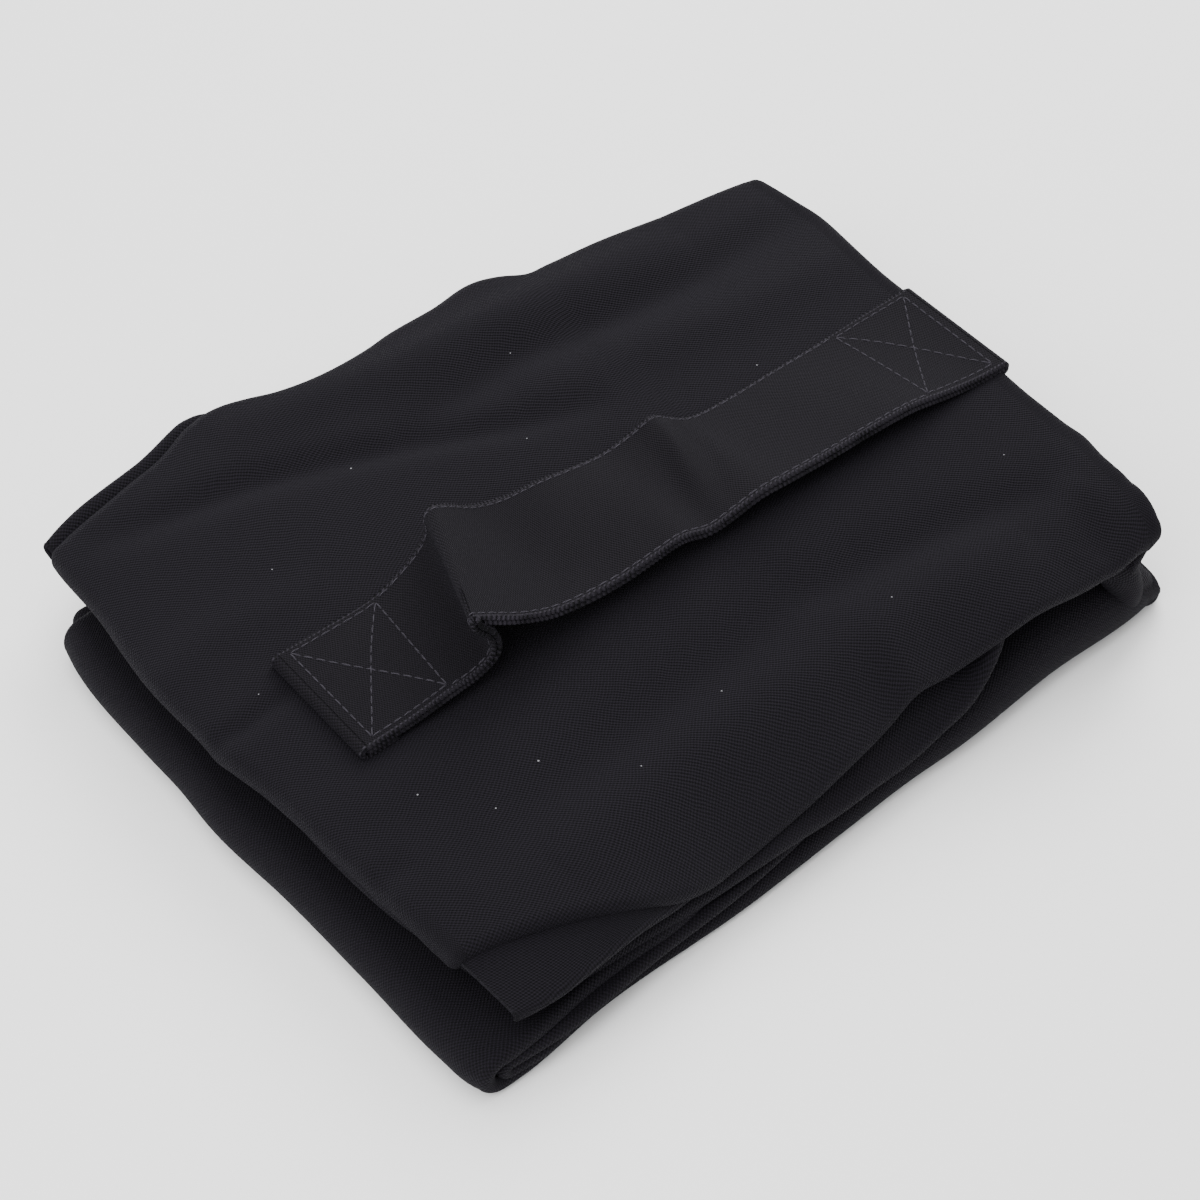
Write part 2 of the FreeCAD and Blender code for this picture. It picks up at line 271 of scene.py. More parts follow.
# The first number of each pair is a place along the edge and the second is how far out it lies.
LEFT_EDGE = [(-99, -110.6), (-93, -113.2), (-84, -114.3), (-56, -115.2), (-25, -116.4),
             (4, -118.6), (20, -118), (36, -118.4), (72, -117), (80, -115.2)]
FRONT_FOOT = [(-112, -97.2), (-100, -96.8), (-76, -93.1), (-30, -91.2), (3, -88.4),
              (24, -86.8), (44, -86.5), (76, -83.6), (110, -81), (122, -78)]
REAR_FOOT = [(-120, 76), (-100, 80), (-70, 86), (0, 88), (60, 85), (122, 84)]
LIP = [(-115, 1.7), (-60, 1.9), (-30, 2.6), (0, 3.8), (30, 5.6), (60, 8.2), (80, 9.0), (100, 8.0),
       (122, 5)]
U_RADIUS = 5.9
FLAP = 80.0
RUN = 227.0
FLOOR_GAP = 0.1
LOWER_WIDTH = 180.0
turn_length = math.pi * U_RADIUS


def lower_outer(a, b):
    """a runs from the fold along the floor, round the roll and back; b runs from front to rear."""
    share = np.clip(b, 0, 1)
    y = -96 + 174 * share
    for _ in range(2):
        end = through(LEFT_EDGE, y) + U_RADIUS + CANVAS / 2
        flat = FOLD + (end - FOLD) * np.clip(a / RUN, 0, 1)
        back = np.clip(a - RUN - turn_length, 0, None)
        x = flat + back
        lip = np.where(a < RUN, through(LIP, x), 1.7)
        front = through(FRONT_FOOT, x) + lip + 4 * smooth((back - 50) / 30)
        rear = through(REAR_FOOT, x) - 2
        y = front + (rear - front) * share
    turn = np.clip((a - RUN) / U_RADIUS, 0, math.pi)
    x = x - U_RADIUS * np.sin(turn)
    z = CANVAS / 2 + FLOOR_GAP + U_RADIUS * (1 - np.cos(turn))
    z = z + np.where(a > RUN + turn_length, 0.5 * np.sin(y / 19) * smooth(back / 10), 0)
    inward = np.stack([np.sin(turn), np.cos(turn)])
    past = np.clip(-b, 0, None) * (lip * 2.9 + 5 * smooth((lip - 2) / 5))
    past_rear = np.clip(b - 1, 0, None) * 5
    out, up = roll(past, lip, 0, 2.95)
    out_rear, up_rear = roll(past_rear, 2.0, 0, 2.5)
    y = y - out + out_rear
    x = x + inward[0] * (up + up_rear)
    z = z + inward[1] * (up + up_rear)
    return x, y, z, share * 176 - past + past_rear


turned = RUN + turn_length
lower_a = np.concatenate([spaced(0, RUN - 2, 1.6), spaced(RUN - 1, turned + 1, 0.8),
                          spaced(turned + 2.5, turned + FLAP, 1.6)])
across = np.concatenate([-spaced(1, 0.08, 0.08), spaced(0, 1, 0.0095), 1 + spaced(0.1, 1, 0.1)])


def sheet_mesh(name, a, b, place, width, **more):
    """A cloth whose b runs 0 to 1 from side to side, with its turned edges outside that."""
    return cloth(name, a, b * width, lambda p, q: place(p, q / width), **more)


lower_wall = sheet_mesh("front_panel_lower_cloth", lower_a, across, lower_outer, LOWER_WIDTH,
                        joined=("start",))
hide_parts("front_panel_lower", "mouth_hem_front", "side_seam_front_lower",
            "side_seam_rear_lower")
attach(lower_wall, "lower_half")


# ---------------------------------------------------------------- the lower half, inner wall
# The back wall lies on top inside the lower half. At the mouth its doubled hem is turned in
# and nests in the roll of the outer wall, so the front corner shows a spiral of cloth.

INNER_FRONT = [(-112, -97), (-88, -97.4), (-60, -94), (-30, -91), (0, -85), (25, -77), (50, -70),
               (80, -67), (114, -66)]
INNER_REAR = [(-112, 83), (-60, 86), (0, 87), (114, 80)]
INNER_TOP = [(-112, 9.4), (-60, 10), (0, 10.5), (60, 11.2), (114, 12.4)]
INNER_RADIUS = 2.9
INNER_RUN = 218
INNER_SIDE = 4.2
SIDE_RADIUS = 1.35
HEM = 32.0


def lower_inner(a, b):
    """a runs from the fold towards the mouth, down round the hem and back inside."""
    share = np.clip(b, 0, 1)
    y = -95 + 170 * share
    for _ in range(2):
        end = through(LEFT_EDGE, y) + U_RADIUS + 2.6
        flat = FOLD + (end - FOLD) * np.clip(a / INNER_RUN, 0, 1)
        back = np.clip(a - INNER_RUN - math.pi * INNER_RADIUS, 0, None)
        x = flat + back
        front = through(INNER_FRONT, x) + 1.4 + 4 * smooth((back - 8) / 22)
        rear = through(INNER_REAR, x) - 1.4
        y = front + (rear - front) * share
    turn = np.clip((a - INNER_RUN) / INNER_RADIUS, 0, math.pi)
    x = x - INNER_RADIUS * np.sin(turn)
    z = through(INNER_TOP, x) - INNER_RADIUS * (1 - np.cos(turn))
    out, down = roll(np.clip(-b, 0, None) * INNER_SIDE, SIDE_RADIUS, 0, 2.9)
    out_rear, down_rear = roll(np.clip(b - 1, 0, None) * INNER_SIDE, SIDE_RADIUS, 0, 2.9)
    y = y - out + out_rear
    x = x + np.sin(turn) * (down + down_rear)
    z = z - np.cos(turn) * (down + down_rear)
    return x, y, z, share * 172 + INNER_SIDE * (b - share)


hem_start = INNER_RUN + 10
inner_a = np.concatenate([spaced(0, INNER_RUN - 2, 2), spaced(INNER_RUN - 1, hem_start, 0.8),
                          spaced(hem_start + 2, hem_start + HEM, 2)])
inner_wall = sheet_mesh("back_panel_lower_cloth", inner_a, across, lower_inner, 176.0,
                        joined=("start",))
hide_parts("back_panel_lower", "mouth_hem_back")
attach(inner_wall, "lower_half")


# ---------------------------------------------------------------- the upper half, outer wall
# The front wall is the top of the pack. It was folded by hand, so long soft folds cross it,
# mostly along the strap. It rolls over at the closed end and at both sides.

TOP_LEFT = [(-96, -104), (-78, -105.6), (-54, -107.2), (-31, -109.2), (-10, -110.8), (4, -113.2),
            (20, -113.8), (32, -114.4), (49, -113.2), (62, -111.8), (85, -111.2), (92, -110.4)]
TOP_REAR = [(-118, 86.2), (-98, 92.7), (-78, 97.1), (-48, 103.6), (-43, 101.6), (-36, 98.2),
            (-30, 96.5), (-8, 96.2), (0, 97.6), (15, 98), (32, 98.8), (37, 96.4), (42, 92.6),
            (50, 91.8), (65, 90.8), (84, 87.6), (102, 85.6), (120, 83.6)]
TOP_FRONT = [(-118, -75), (-91, -81), (-76, -85.5), (-62, -90.3), (-50, -92.2), (-31, -90),
             (4.5, -86), (32, -81.8), (40, -82), (87, -84), (103, -83.6), (113, -80.6), (120, -79)]
TOP_FRONT_Z = [(-118, 28.8), (-91, 30), (-76, 30), (-62, 27.8), (-50, 23.3), (-40, 20.5), (-13, 22),
               (4.5, 25.5), (22, 28), (28, 30.5), (40, 30.5), (66, 35), (98, 35.4), (104, 37),
               (109, 40), (120, 42)]
TOP_RIGHT = [(-92, 106), (-84, 110.6), (-73, 113), (-59, 113), (-41, 114.1), (-31, 114.2),
             (-10, 116), (18, 117.6), (38, 118.2), (61, 120.8), (69, 120.1), (92, 118.5)]
TOP_ROLL = 4.0
TOP_RUN = 218
TOP_WIDTH = 174
TOP_LOW = 30.5
TOP_RISE = 0.0612
LOW_END = 113.5
FRONT_ROLL = 2.4
EDGE_TILT = 0.2
TURNED_UNDER = 2.85

# The soft folds of the top wall: the line each follows, its width and its height above the rest.
TOP_FOLDS = [
    ([(-104, 81), (-60, 74), (-40, 67), (-17, 58), (8, 45), (30, 37)], 5.6, -2.7),
    ([(-22, 62), (-5, 65), (21, 67), (52, 63), (78, 61), (118, 63)], 7.0, -2.7),
    ([(-92, -62), (-59, -56), (-30, -53), (7, -50), (22, -46), (61, -51), (108, -63)], 9, -2.2),
    ([(18, -49), (66, -53), (104, -60)], 6, -1.2),
    ([(-58, 94), (-6, 84), (25, 82), (84, 76)], 9, 2.3),
    ([(12, 55), (77, 42), (124, 40)], 10, 2.0),
    ([(-60, -8), (-30, -11), (14, -19), (78, -26), (118, -27)], 14, 1.0),
    ([(-72, -76), (-28, -70), (21, -68), (78, -69)], 9, 2.2),
    ([(118, -47), (98, -62), (83, -74), (58, -84)], 5, 1.8),
    ([(122, -60), (104, -72), (90, -82)], 5, -1.6),
    ([(-119, 9), (-104, 6), (-86, 9)], 3.2, -1.1),
    ([(-112, -50), (-97, -52)], 4, -0.9),
    ([(-118, 30), (-96, 36), (-62, 31)], 8, 0.9),
    ([(-112, -22), (-90, -33), (-58, -36)], 8, 0.8),
]


def slope_plane(x):
    """The outside of the top before any fold: it rises towards the fold of the bag."""
    return TOP_LOW + TOP_RISE * (x + LOW_END)


def top_reach(x):
    """How far in from the front edge the top wall starts to slope down."""
    return 33 - 15 * smooth((x - 90) / 14)


def top_height(x, y):
    """The outside of the top wall."""
    edge = through(TOP_FRONT, x)
    sunk = slope_plane(x) - through(TOP_FRONT_Z, x)
    reach = top_reach(x)
    inner = np.clip((y - edge) / reach, 0, 1)
    z = slope_plane(x) - sunk * (1 - inner) ** 2
    rear = through(TOP_REAR, x)
    z = z - 0.5 * (1 - np.clip((rear - y) / 20, 0, 1)) ** 2
    z = z - 2.2 * (1 - np.clip((x - through(TOP_LEFT, y)) / 16, 0, 1)) ** 2
    z = z - 0.8 * (1 - np.clip((through(TOP_RIGHT, y) - x) / 18, 0, 1)) ** 2
    for path, width, height in TOP_FOLDS:
        z = z + along(path, x, y, width, height)
    z = z + 0.35 * np.sin(x / 15 + y / 37) * np.sin(y / 17 - x / 33)
    return z


def front_tilt(x):
    """The angle at which the top wall slopes down as it comes to its front edge."""
    return np.arctan(2 * (slope_plane(x) - through(TOP_FRONT_Z, x)) / top_reach(x))


def front_line(x):
    """Where the roll of the front edge starts."""
    return through(TOP_FRONT, x) + FRONT_ROLL * (1 - np.sin(front_tilt(x)))


def rear_slit(x):
    """How far the top wall stops short of the inner wall along the left part of the rear edge."""
    return (1.5 + 0.5 * np.sin(x / 5.5)) * smooth((-60 - x) / 14)


def top_place(a, b):
    """a runs from the closed end to the fold, b from front to rear; past them the cloth rolls under."""
    u = np.clip(a / TOP_RUN, 0, 1)
    v = np.clip(b / TOP_WIDTH, 0, 1)
    y = -86 + 174 * v
    x = -110 + 218 * u
    for _ in range(4):
        left = through(TOP_LEFT, y) + TOP_ROLL
        right = through(TOP_RIGHT, y) - 6
        x = left + (right - left) * u
        front = front_line(x)
        rear = through(TOP_REAR, x) - TOP_ROLL + 1.3 - rear_slit(x)
        y = front + (rear - front) * v
    z = top_height(x, y) - CANVAS / 2
    past = np.clip(-a, 0, None) * (0.42 + 0.58 * smooth((b - 2) / 20))
    past_front = np.clip(-b, 0, None)
    past_rear = np.clip(b - TOP_WIDTH, 0, None)
    past_side = past_front + past_rear
    whole = np.hypot(past, past_side)
    toward_side = past_side / np.maximum(whole, 1e-9)
    front_roll = FRONT_ROLL + FRONT_ROLL * smooth((x - 100) / 8)
    side_roll = np.where(past_front > 0, front_roll, TOP_ROLL)
    radius = TOP_ROLL + (side_roll - TOP_ROLL) * toward_side
    begin = EDGE_TILT + (np.where(past_front > 0, front_tilt(x), EDGE_TILT) - EDGE_TILT) * toward_side
    out, down = roll(np.minimum(whole, 15), radius, begin, TURNED_UNDER)
    side_way = np.where(past_front > 0, -1, 1)
    return x - out * past / np.maximum(whole, 1e-9), y + out * toward_side * side_way, z - down


top_a = np.concatenate([-spaced(15, 0.8, 0.9), spaced(0, TOP_RUN, 1.15)])
top_b = np.concatenate([-spaced(11, 0.7, 0.7), spaced(0, TOP_WIDTH, 1.15),
                        TOP_WIDTH + spaced(0.9, 14, 0.9)])
top_wall = cloth("front_panel_upper_cloth", top_a, top_b, top_place, joined=("end",))
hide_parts("front_panel_upper", "side_seam_front_upper", "side_seam_rear_upper",
            "bottom_seam")
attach(top_wall, "upper_half")


# ---------------------------------------------------------------- the upper half, inner wall
# The back wall lies under the top wall. It is a little longer at the rear, where it shows as a
# second edge, and it sags out below the top wall along the front.

UNDER_FRONT = [(-112, -84), (-90, -90), (-60, -91), (-31, -91), (-18, -91), (-2, -90), (12, -89),
               (23, -88), (34, -87), (47, -85.5), (55, -82), (63, -76), (80, -70), (120, -68)]
UNDER_FRONT_Z = [(-112, 16), (-31, 16), (-18, 17), (-2, 15), (12, 15), (23, 14.3), (34, 16.5),
                 (47, 22), (55, 29), (63, 32), (80, 31), (120, 30)]
UNDER_LEFT = [(-95, -94), (-70, -99), (-60, -101), (40, -101), (66, -101), (76, -103), (84, -107),
              (92, -109)]
UNDER_RUN = 216
UNDER_WIDTH = 178
UNDER_REACH = 22
UNDER_LOW = 16.2


def under_plane(x):
    """The level of the inner wall before it sags: it rises as the top wall does."""
    return UNDER_LOW + TOP_RISE * (x + LOW_END)


def under_place(a, b):
    """The inner wall of the upper half, with a and b as for the top wall."""
    u = np.clip(a / UNDER_RUN, 0, 1)
    v = np.clip(b / UNDER_WIDTH, 0, 1)
    y = -88 + 178 * v
    x = -106 + 218 * u
    for _ in range(4):
        left = through(UNDER_LEFT, y)
        right = through(TOP_RIGHT, y) - 7.5
        x = left + (right - left) * u
        front = through(UNDER_FRONT, x) + 1.2
        rear = through(TOP_REAR, x) + 1.8 - 4.8 * smooth((x + 62) / 30)
        y = front + (rear - front) * v
    base = under_plane(x)
    sunk = base - through(UNDER_FRONT_Z, x)
    z = base - sunk * (1 - np.clip((y - front) / UNDER_REACH, 0, 1)) ** 2
    z = z + 5 * smooth(1 - (y - front - UNDER_REACH) / 30) * smooth((y - front) / 30) * smooth((x + 40) / 40)
    lift = top_height(x, through(TOP_REAR, x) - 4) - 2.3 - 7.3 * smooth((x + 62) / 30) - z
    z = z + lift * smooth(1 - (rear - y) / 11) ** 1.4
    fade = 0.06 + 0.94 * smooth((78 - y) / 16) * smooth((y + 84) / 14)
    out, up = roll(np.clip(-a, 0, None) * fade, 3.0, 0, 1.75)
    sag = np.arctan(np.clip(2 * sunk / UNDER_REACH, -0.4, 2))
    out_front, down_front = roll(np.clip(-b, 0, None), 2.0, sag, 2.9)
    out_rear, down_rear = roll(np.clip(b - UNDER_WIDTH, 0, None), 1.3, -0.3, 2.9)
    return x - out, y - out_front + out_rear, z + up - down_front - down_rear


under_a = np.concatenate([-spaced(8, 0.8, 0.8), spaced(0, UNDER_RUN, 1.5)])
under_b = np.concatenate([-spaced(6, 0.6, 0.6), spaced(0, UNDER_WIDTH, 1.3),
                          UNDER_WIDTH + spaced(0.5, 6, 0.5)])
under_wall = cloth("back_panel_upper_cloth", under_a, under_b, under_place, joined=("end",))
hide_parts("back_panel_upper")
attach(under_wall, "upper_half")


# ---------------------------------------------------------------- the tucked corner
# At the front corner of the closed end the cloth is pushed in and shows as a small flat
# facet below the edge of the top wall, with its weave turned.

FACET_FRONT = [(-106, -92.6), (-101, -94.0), (-90, -95.2), (-77, -94.2), (-64, -93.0), (-52, -90.8),
               (-40, -88), (-30, -85)]
FACET_Z = [(-106, 21.2), (-103, 21.2), (-90, 21.8), (-77, 22.6), (-64, 23.2), (-52, 20),
           (-40, 18.1), (-30, 18.4)]
FACET_DEPTH = 24
FACET_LENGTH = 70
GRAIN_TURN = 33


def facet_place(a, b):
    """a runs along the front from the corner, b from the front edge back under the top wall."""
    x = -100.5 + a
    v = np.clip(b, 0, None)
    front = through(FACET_FRONT, x)
    crease = through(TOP_FRONT, x) + 5
    share = np.clip(v / FACET_DEPTH, 0, 1)
    low = through(FACET_Z, x)
    high = top_height(x, crease) - 3.4
    y = front + (crease - front) * share
    z = low + (high - low) * share ** 0.85
    x = x - 3.4 * share * smooth(1 - a / 30)
    fade = 0.3 + 0.7 * smooth(a / 9) * smooth((72 - a) / 26)
    out, down = roll(np.clip(-b, 0, None) * fade, 1.3, 0.5, 3.0)
    return x, y - out, z - down


facet_b = np.concatenate([-spaced(7, 0.5, 0.5), spaced(0, FACET_DEPTH, 0.9)])
facet = cloth("tucked_corner_cloth", spaced(0, FACET_LENGTH, 0.9), facet_b, facet_place)
weave = facet.data.uv_layers["cloth"]
grain = np.zeros(len(facet.data.loops) * 2)
weave.data.foreach_get("uv", grain)
grain = grain.reshape(-1, 2)
angle = math.radians(GRAIN_TURN)
grain = np.stack([grain[:, 0] * math.cos(angle) - grain[:, 1] * math.sin(angle),
                  grain[:, 0] * math.sin(angle) + grain[:, 1] * math.cos(angle)], axis=1)
weave.data.foreach_set("uv", grain.ravel())
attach(facet, "upper_half")


# ---------------------------------------------------------------- the fold
# Both walls turn over at the right end. The outer wall bulges towards its foot, and the inner
# wall makes a tighter turn inside it.

def spline(rows, t):
    """A smooth line through rows of arrays, with t counted in rows."""
    rows = np.stack([np.asarray(r, float) for r in rows])
    i = np.clip(np.floor(t).astype(int), 0, len(rows) - 2)
    f = t - i
    column = () if rows.ndim == 1 else (np.arange(rows.shape[1]),)
    p, q, r, s = (rows[(np.clip(i + k, 0, len(rows) - 1), *column)] for k in (-1, 0, 1, 2))
    return q + 0.5 * f * (r - p + f * (2 * p - 5 * q + 4 * r - s + f * (3 * (q - r) + s - p)))


def fold_place(a, b):
    """a runs down the fold from the top wall, b from front to rear."""
    v = np.clip(b, 0, 1)
    steps = a[:, 0] / 8.0
    b_row = v[0]
    y_top = -79 + 159 * b_row
    for _ in range(3):
        x_top = through(TOP_RIGHT, y_top) - 6
        front = front_line(x_top)
        rear = through(TOP_REAR, x_top) - TOP_ROLL + 1.3
        y_top = front + (rear - front) * b_row
    z_top = top_height(x_top, y_top) - CANVAS / 2
    foot = 119.8 + 0.7 * np.sin(y_top / 13)
    swell = 2.4 * (1 - smooth((y_top + 80) / 16))
    sag = 1.6 * swell
    tuck_in = 1 - smooth((y_top + 80) / 10)
    lip_low = float(through(LIP, FOLD))
    y_low = through(FRONT_FOOT, FOLD) + lip_low
    y_low = y_low + (through(REAR_FOOT, FOLD) - 2 - y_low) * b_row
    before = top_height(x_top - 3.4, y_top) - CANVAS / 2
    tilt = top_height(x_top, y_top) - top_height(x_top - 1, y_top)
    z_next = before + 6.8 * tilt
    rows_x = [x_top - 3.4, x_top, x_top + 3.4, x_top + 5.5 - 2.0 * tuck_in, x_top + 6.0 - 4.3 * tuck_in,
              x_top + 4.2 - 2.8 * tuck_in, 0.5 * (x_top + foot) + 2, foot + swell - 1.8 * tuck_in,
              foot + 0.5 * swell, foot - 3, FOLD + 0 * foot]
    rows_z = [before, z_top, z_next, z_next - 3.2, z_top - 9.0, z_top - 16 - 0.6 * sag, 17 - sag,
              9 - sag, 4 - 0.4 * sag, 0 * foot + 1.2, 0 * foot + 0.7]
    x = np.stack([spline(rows_x, np.full(len(b_row), s + 1)) for s in steps])
    z = np.stack([spline(rows_z, np.full(len(b_row), s + 1)) for s in steps])
    mix = smooth(steps / 9)[:, None]
    y = y_top[None, :] * (1 - mix) + y_low[None, :] * mix
    pull = np.where(v < 0.5, 0.6, 3.0) * np.sin(np.pi * np.clip(steps / 9, 0, 1))[:, None]
    y = y + pull * (1 - 2 * v) * (np.abs(1 - 2 * v) ** 3)
    early = 1 - smooth(steps / 5)[:, None]
    late = smooth((steps - 5) / 4)[:, None]
    past = np.clip(-b, 0, None) * (7.5 + 3.5 * early + 15 * late)
    past_rear = np.clip(b - 1, 0, None) * (7.5 + 6.5 * early - 2.5 * late)
    end = 2.6 + 0.25 * early + 0.35 * late
    begin = front_tilt(x_top)[None, :] * early
    out, inward = roll(past, 2.6 + 1.8 * early + (lip_low - 2.6) * late, begin, end)
    out_rear, inward_rear = roll(past_rear, 2.6 + 1.4 * early - 0.6 * late, 0.2 * early, end)
    dx = np.gradient(x, axis=0)
    dz = np.gradient(z, axis=0)
    size = np.maximum(np.hypot(dx, dz), 1e-9)
    x = x + (1 - early) * dz / size * (inward + inward_rear)
    z = z - (early + (1 - early) * dx / size) * (inward + inward_rear)
    return x, y - out + out_rear, z, v * 164 - past + past_rear


fold_a = spaced(0, 72, 0.9)
fold_wall = sheet_mesh("front_panel_fold_cloth", fold_a, across, fold_place, 168.0,
                       joined=("start", "end"))
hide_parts("front_panel_fold")
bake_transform(fold_wall)


FOLD_SIDE = 5.5


def inner_fold_place(a, b):
    """The inner wall's own turn, from the upper half down to the lower."""
    v = np.clip(b, 0, 1)
    steps = a[:, 0] / 6.0
    b_row = v[0]
    y_top = -68 + 146 * b_row
    x_top = through(TOP_RIGHT, y_top) - 7.5
    z_top = under_plane(x_top) + 0 * y_top
    zero = 0 * b_row
    rows_x = [x_top, x_top + 3.0, x_top + 5.0, x_top + 5.2, zero + 117.5, zero + 116, zero + 113]
    rows_z = [z_top, z_top - 0.6, z_top - 4.0, zero + 20, zero + 15.4, zero + 12.9, zero + 12.4]
    x = np.stack([spline(rows_x, np.full(len(b_row), s)) for s in steps])
    z = np.stack([spline(rows_z, np.full(len(b_row), s)) for s in steps])
    y = np.repeat(y_top[None, :], len(steps), axis=0)
    out, inward = roll(np.clip(-b, 0, None) * FOLD_SIDE, 1.7, 0, 3.0)
    out_rear, inward_rear = roll(np.clip(b - 1, 0, None) * FOLD_SIDE, 1.7, 0, 3.0)
    dx = np.gradient(x, axis=0)
    dz = np.gradient(z, axis=0)
    size = np.maximum(np.hypot(dx, dz), 1e-9)
    x = x + dz / size * (inward + inward_rear)
    z = z - dx / size * (inward + inward_rear)
    return x, y - out + out_rear, z, v * 146 + FOLD_SIDE * (b - v)


inner_fold = sheet_mesh("back_panel_fold_cloth", spaced(0, 36, 0.8), across, inner_fold_place, 150.0,
                        joined=("start", "end"))
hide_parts("back_panel_fold")
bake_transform(inner_fold)


TUCK = [(88, -74, 27.5), (94, -76.6, 26.8), (100, -78.6, 24), (104, -79.6, 18.6), (106, -80, 12.8),
        (107.5, -79, 7.6), (107.5, -75, 5.4)]
TUCK_RADIUS = [2.8, 3.4, 4.2, 4.5, 4.2, 3.2, 2.2]


def tuck_place(a, b):
    """A loose roll of the inner wall, bunched out of the fold at the front; a down it, b round it."""
    row = a / 7.0
    path = np.array(TUCK, float)
    x, y, z = (spline(path[:, k], row) for k in range(3))
    ahead = np.minimum(row + 0.02, 5.999)
    dx, dz = (spline(path[:, k], ahead) - spline(path[:, k], ahead - 0.04) for k in (0, 2))
    size = np.sqrt(dx * dx + dz * dz)
    radius = spline(np.array(TUCK_RADIUS), row)
    turn = b / 3.6
    across_x, across_z = dz / size, -dx / size
    sideways = radius * np.sin(turn)
    return x + sideways * across_x, y - radius * np.cos(turn) + 2, z + sideways * across_z


tuck = cloth("fold_tuck_cloth", spaced(0, 42, 0.7), spaced(-7.4, 7.4, 0.6), tuck_place)
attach(tuck, "lower_half")
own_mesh(tuck)


# ---------------------------------------------------------------- the closure
# Two strips of nylon hook and loop tape, one sewn inside each wall of the mouth. Pressed
# together they close the bag.

TAPE = 1.1


def tape(name, z, colour_dark, colour_light, node):
    """A flat woven tape with a dense pile."""
    # Dyed nylon pile: fine even tufts with a slight shine, greyer than the canvas round it, with painted
    # shade between the tufts.
    pile = woven(name + "_nylon", colour_dark, colour_light, (0.45, 0.45), 0.25, 0.6, 0.2)
    made = cloth(name + "_strip", spaced(-101, -85, 1.0), spaced(-75, 65, 1.4),
                 lambda a, b: (a, b, z + 0 * a), thickness=TAPE, material=pile)
    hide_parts(node)
    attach(made, "lower_half")


tape("loop_tape", 1.95, "101013", "26262B", "loop_tape")
tape("hook_tape", 8.4, "0C0C0E", "303036", "hook_tape")


# ---------------------------------------------------------------- the strap
# A carrying handle of two layers of black cotton webbing, sewn flat to the front wall at both
# ends. It is longer than its seat, so it stands up: it kinks over itself beside the left end,
# and its near edge stays off the cloth along the right.

# Black cotton webbing: flatter and tighter than the duck, so smoother, and just as dull, with painted shade
# between its yarns.
webbing = woven("cotton_webbing_black", "030304", "161319", (0.36, 0.62), 0.14, 0.86, 0.02)

# The weft turns back round each edge of the webbing in beads that stand proud of it; their paler colour is a
# painted highlight where they catch the light, with painted shade between them.
painted_edge_highlight = woven("cotton_webbing_painted_edge_highlight", "070708", "2D2A31", (0.65, 0.7), 0.22, 0.8, 0.02)

WEBBING = 1.35
STRAP_WIDTH = 38
NEAR_Y = -21
FAR_Y = NEAR_Y + STRAP_WIDTH

# The strap's two edges from end to end, as places along the bag and heights.
STRAP_FAR = [(-89, 35.4), (-75, 36), (-61, 37.2), (-52, 41.6), (-46.4, 46), (-43.8, 51), (-44.3, 55.6),
             (-41.8, 57.4), (-36.5, 55), (-30, 51), (-21, 48.2), (-10, 47.6), (0, 46.2), (10, 45.4),
             (19, 47.2), (26, 49.3), (32.5, 45.5), (40, 41.8), (52, 41.6), (66, 42.8), (80, 43.8),
             (93, 45.2), (105, 46.2), (114.5, 47)]
STRAP_NEAR = [(-89, 35.6), (-75, 37.2), (-64.5, 39.4), (-57.5, 40.4), (-52.4, 43.2), (-52.6, 48.6),
              (-57, 54.6), (-57.4, 59.2), (-52, 56.4), (-42, 50.4), (-31, 46.4), (-15, 45.4), (-3, 46.8),
              (6, 48), (15, 45.6), (23, 47.2), (32, 49), (42, 49.2), (55, 49.4), (68, 50), (81, 50),
              (94, 47.8), (105, 46.4), (114.5, 46.6)]
far_x, far_z = np.array(STRAP_FAR, float).T
near_x, near_z = np.array(STRAP_NEAR, float).T


def strap_surface(row, y):
    """The outside of the strap; row counts the places listed along its edges and y is across."""
    w = (y - NEAR_Y) / STRAP_WIDTH
    x = spline(near_x, row) * (1 - w) + spline(far_x, row) * w
    z = spline(near_z, row) * (1 - w) + spline(far_z, row) * w
    belly = 1 - (2 * w - 1) ** 2
    z = z + 1.5 * belly * smooth((w - 0.1) / 0.4) * np.exp(-(((row - 13.9 - 1.5 * w) / 0.42) ** 2))
    z = z - 1.6 * belly * np.exp(-(((row - 14.9 - 1.4 * w) / 0.55) ** 2))
    z = z - 1.2 * belly * np.exp(-(((row - 10.6 + 1.2 * w) / 0.9) ** 2))
    z = z + 0.7 * belly * np.exp(-(((row - 12.6) / 0.9) ** 2))
    return x, z + 0.8 * belly * np.exp(-(((row - 19) / 1.4) ** 2))


fine = np.linspace(0, len(STRAP_FAR) - 1, 1200)
mid_x, mid_z = strap_surface(fine, np.full(len(fine), (NEAR_Y + FAR_Y) / 2))
reach = np.concatenate([[0], np.cumsum(np.hypot(np.diff(mid_x), np.diff(mid_z)))])
STRAP_LENGTH = reach[-1]


def strap_place(a, b):
    """a is the distance along the strap, b the place across it, both in millimetres."""
    row = np.interp(a, reach, fine)
    x, z = strap_surface(row, b)
    return x, b + 0 * a, z


def ribbed(a, b):
    """The strap with the beads of its selvedges."""
    x, y, z = strap_place(a, np.clip(b, NEAR_Y, FAR_Y))
    bead = 0.24 * np.sin(2 * math.pi * a / 1.3)
    edge = np.exp(-(((b - NEAR_Y) / 0.6) ** 2)) - np.exp(-(((b - FAR_Y) / 0.6) ** 2))
    return x, y - bead * edge, z


side = [0, 0.25, 0.6, 1.0, 1.5, 2.1]
strap_b = np.array([NEAR_Y + s for s in side] + list(spaced(NEAR_Y + 3, FAR_Y - 3, 1.6))
                   + [FAR_Y - s for s in reversed(side)])
MIDDLE = STRAP_LENGTH * 0.52
SEWN_LEFT = -0.061
SEWN_RIGHT = 0.084
END = 1.0


